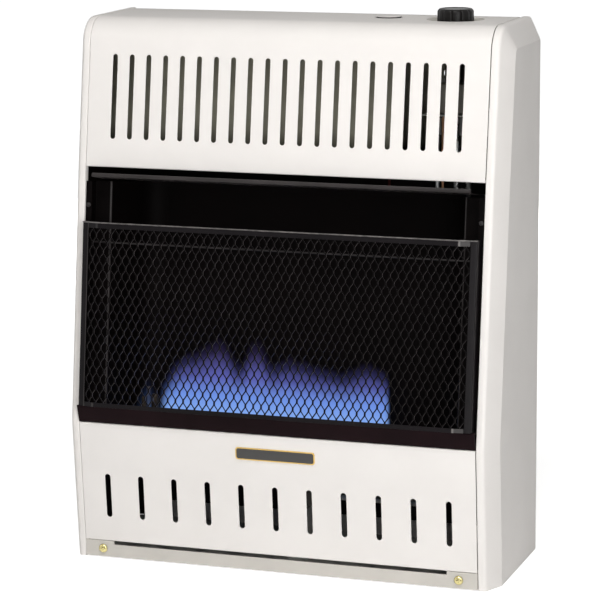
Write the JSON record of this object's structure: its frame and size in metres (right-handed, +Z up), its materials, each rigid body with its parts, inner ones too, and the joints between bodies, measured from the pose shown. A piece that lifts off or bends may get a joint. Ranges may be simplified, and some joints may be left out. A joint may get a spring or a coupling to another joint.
{
  "type": "ventless gas heater",
  "caption": "Wall-hung sheet-steel gas room heater with louvred panels, a mesh-guarded firebox, a push-and-turn knob and a push igniter.",
  "frame": {"origin": "centre of the bounding box in plan, at the bottom of the side panels", "axes": "+Z up, the front and its guard face -Y, the wall side is +Y, the controls are on the +X side of the deck"},
  "size_m": [0.4776, 0.1964, 0.5916],
  "materials": {
    "cream_powder_coat": "satin powder coat",
    "black_heat_paint": "matt heat-resistant paint",
    "aluminised_steel": "aluminised",
    "burner_steel": "bare",
    "brass": "bare",
    "aluminium_tube": "bare",
    "copper": "bare copper",
    "valve_casting": "die cast",
    "zinc_plate": "zinc plated",
    "knob_plastic": "fluted",
    "ceramic": "glazed ceramic",
    "lead_insulation": "woven sleeve"
  },
  "bodies": {
    "cabinet": {"side_panel_left": "cream_powder_coat", "side_panel_right": "cream_powder_coat", "upper_front_panel": "cream_powder_coat", "lower_front_panel": "cream_powder_coat", "base_pan": "cream_powder_coat", "firebox_liner": "black_heat_paint", "liner_screw_left": "black_heat_paint", "liner_screw_right": "black_heat_paint", "firebox_hood": "black_heat_paint", "guard_ledge": "black_heat_paint", "burner_shelf": "black_heat_paint", "guard_frame": "black_heat_paint", "guard_mesh": "black_heat_paint", "firebox_rod": "black_heat_paint", "back_panel": "aluminised_steel", "heat_deflector": "aluminised_steel", "burner_tube": "burner_steel", "burner_end_plug": "burner_steel", "venturi": "burner_steel", "burner_saddle_left": "burner_steel", "burner_saddle_right": "burner_steel", "case_screw_left": "brass", "case_screw_right": "brass", "orifice_holder": "brass", "pilot_burner": "brass", "gas_inlet": "brass", "supply_tube": "aluminium_tube", "burner_gas_tube": "aluminium_tube", "pilot_tube": "aluminium_tube", "thermocouple": "copper", "thermocouple_lead": "copper", "gas_valve": "valve_casting", "regulator": "valve_casting", "orifice_bracket": "zinc_plate", "pilot_bracket": "zinc_plate", "valve_bracket": "zinc_plate", "regulator_bracket": "zinc_plate", "igniter_body": "knob_plastic", "spark_electrode": "ceramic", "ignition_lead": "lead_insulation"},
    "stem_seat": {"stem_return_washer": "zinc_plate"},
    "knob": {"control_knob": "knob_plastic", "valve_stem": "brass"},
    "button": {"igniter_button": "cream_powder_coat"}
  },
  "joints": [
    {"name": "knob_push", "type": "slide", "parent": "cabinet", "child": "stem_seat", "axis": [0, 0, -1], "range_m": [0, 0.0035], "stiffness_N_per_m": 600, "springref_m": -0.002},
    {"name": "knob_turn", "type": "hinge", "parent": "stem_seat", "child": "knob", "pos_m": [0.1604, 0.04655, 0.58], "axis": [0, 0, 1], "range_deg": [-270, 0]},
    {"name": "igniter_push", "type": "slide", "parent": "cabinet", "child": "button", "axis": [0, 0, -1], "range_m": [0, 0.005], "stiffness_N_per_m": 500, "springref_m": -0.002}
  ]
}
